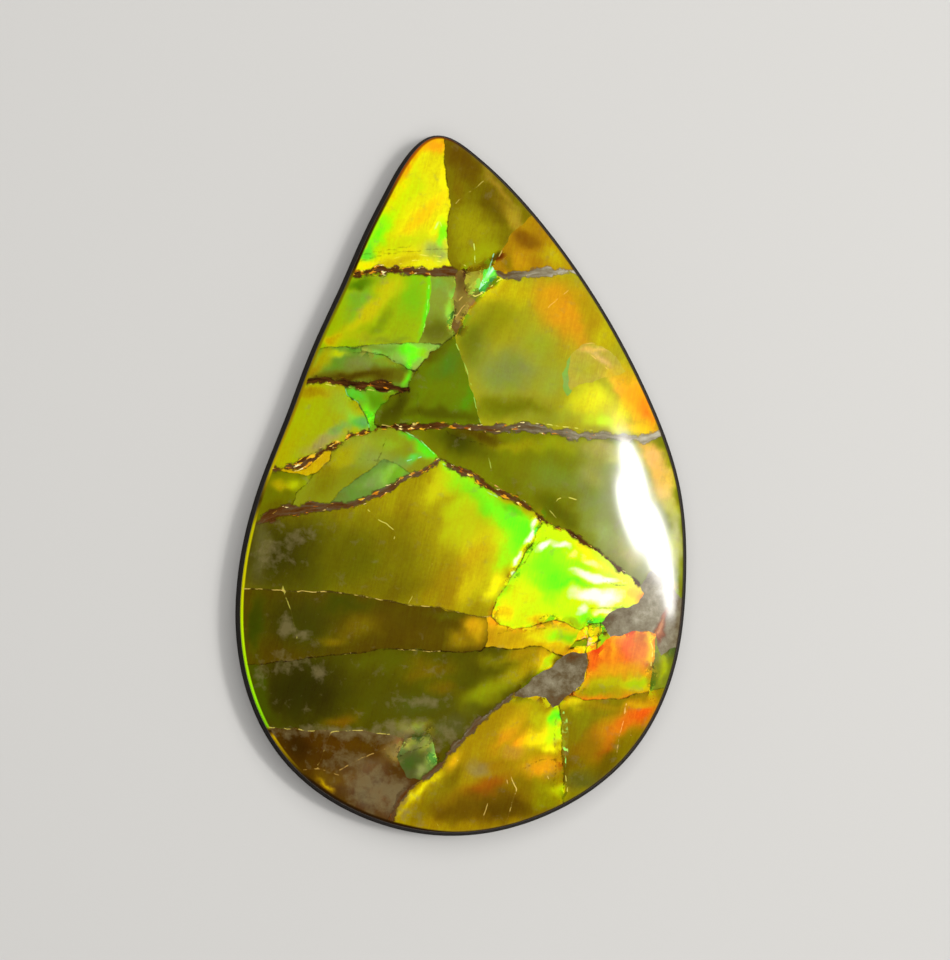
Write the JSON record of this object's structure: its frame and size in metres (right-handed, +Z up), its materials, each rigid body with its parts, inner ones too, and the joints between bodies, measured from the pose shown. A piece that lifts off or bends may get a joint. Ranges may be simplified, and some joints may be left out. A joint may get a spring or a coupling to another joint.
{
  "type": "ammolite specimen",
  "caption": "Polished teardrop of ammolite: iridescent fossil shell on shale, with a low domed face, a leaning wall and a flat ground back.",
  "frame": {"origin": "middle of the teardrop's box, on the surface that its flat back rests on", "axes": "+Z up out of the polished face, +Y towards the pointed tip, +X to the right seen from above"},
  "size_m": [0.0286, 0.0444, 0.0044],
  "materials": {
    "ammolite": "polished"
  },
  "bodies": {
    "root": {"ammolite_stone": "ammolite"}
  },
  "joints": []
}
